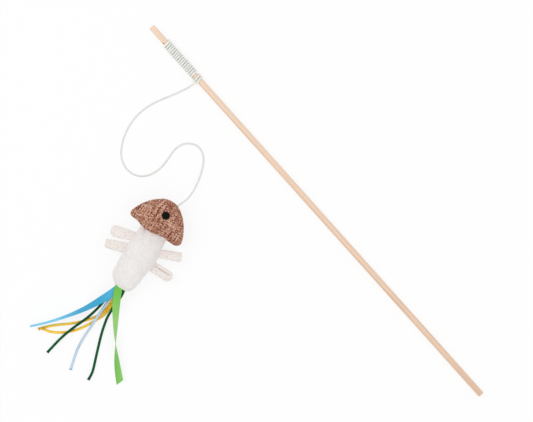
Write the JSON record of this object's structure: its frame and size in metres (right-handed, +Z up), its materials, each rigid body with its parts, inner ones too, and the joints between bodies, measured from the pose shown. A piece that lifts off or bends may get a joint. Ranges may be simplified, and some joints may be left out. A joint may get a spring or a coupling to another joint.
{
  "type": "cat teaser wand",
  "caption": "Slim wooden wand with a cord wound round its tip, leading to a stuffed fish-bone lure with side ribs and a tail of ribbons and satin cords.",
  "frame": {"origin": "centre of the rod's grip end face", "axes": "+X along the rod to its tip, +Y to the side where the lure lies, +Z up from the table"},
  "size_m": [0.39, 0.2364, 0.0197],
  "materials": {
    "wood": "bare sanded dowel",
    "cord": "off-white braided cord",
    "tweed": "coarse tweed, brown and beige",
    "stuffing": "fibre fill",
    "eye": "matte black disc",
    "plush": "short white plush",
    "rib_tape": "folded beige tape",
    "blue_satin": "satin ribbon",
    "green_satin": "satin ribbon",
    "yellow_satin": "satin cord",
    "dark_green_satin": "satin cord",
    "light_blue_satin": "satin cord"
  },
  "bodies": {
    "wand": {"rod": "wood", "cord_winding": "cord"},
    "cord": {"cord": "cord"},
    "lure": {"head_front_panel": "tweed", "head_back_panel": "tweed", "head_stuffing": "stuffing", "eye_front": "eye", "eye_back": "eye", "cord_stop_knot": "cord", "body_front_panel": "plush", "body_back_panel": "plush", "body_stuffing": "stuffing"},
    "upper_right_rib": {"upper_right_rib": "rib_tape"},
    "lower_right_rib": {"lower_right_rib": "rib_tape"},
    "upper_left_rib": {"upper_left_rib": "rib_tape"},
    "lower_left_rib": {"lower_left_rib": "rib_tape"},
    "tail": {"left_dark_green_cord": "dark_green_satin", "light_blue_cord": "light_blue_satin", "upper_yellow_cord": "yellow_satin", "lower_yellow_cord": "yellow_satin", "right_dark_green_cord": "dark_green_satin"},
    "blue_ribbon": {"blue_ribbon": "blue_satin"},
    "green_ribbon": {"green_ribbon": "green_satin"}
  },
  "joints": [
    {"name": "cord_swing", "type": "hinge", "parent": "wand", "child": "cord", "pos_m": [0.33409, 0.00406, 0.00174], "axis": [0, 0, 1], "range_deg": [-60, 30]},
    {"name": "lure_swing", "type": "hinge", "parent": "cord", "child": "lure", "pos_m": [0.27101, 0.07822, 0.007], "axis": [0, 0, 1], "range_deg": [-60, 40]},
    {"name": "upper_right_rib_fold", "type": "hinge", "parent": "lure", "child": "upper_right_rib", "pos_m": [0.25024, 0.113, 0.007], "axis": [-0.2554, 0.9668, 0], "range_deg": [0, 85]},
    {"name": "lower_right_rib_fold", "type": "hinge", "parent": "lure", "child": "lower_right_rib", "pos_m": [0.24699, 0.12528, 0.007], "axis": [-0.2554, 0.9668, 0], "range_deg": [0, 85]},
    {"name": "upper_left_rib_fold", "type": "hinge", "parent": "lure", "child": "upper_left_rib", "pos_m": [0.27915, 0.12103, 0.007], "axis": [0.2554, -0.9668, 0], "range_deg": [0, 85]},
    {"name": "lower_left_rib_fold", "type": "hinge", "parent": "lure", "child": "lower_left_rib", "pos_m": [0.27593, 0.13321, 0.007], "axis": [0.2554, -0.9668, 0], "range_deg": [0, 85]},
    {"name": "tail_lift", "type": "hinge", "parent": "lure", "child": "tail", "pos_m": [0.25294, 0.15679, 0.0086], "axis": [0.9668, 0.2554, 0], "range_deg": [0, 50]},
    {"name": "blue_ribbon_lift", "type": "hinge", "parent": "tail", "child": "blue_ribbon", "pos_m": [0.25294, 0.15679, 0.0079], "axis": [0.9668, 0.2554, 0], "range_deg": [0, 25]},
    {"name": "green_ribbon_lift", "type": "hinge", "parent": "blue_ribbon", "child": "green_ribbon", "pos_m": [0.25294, 0.15679, 0.0086], "axis": [0.9668, 0.2554, 0], "range_deg": [0, 25]}
  ]
}
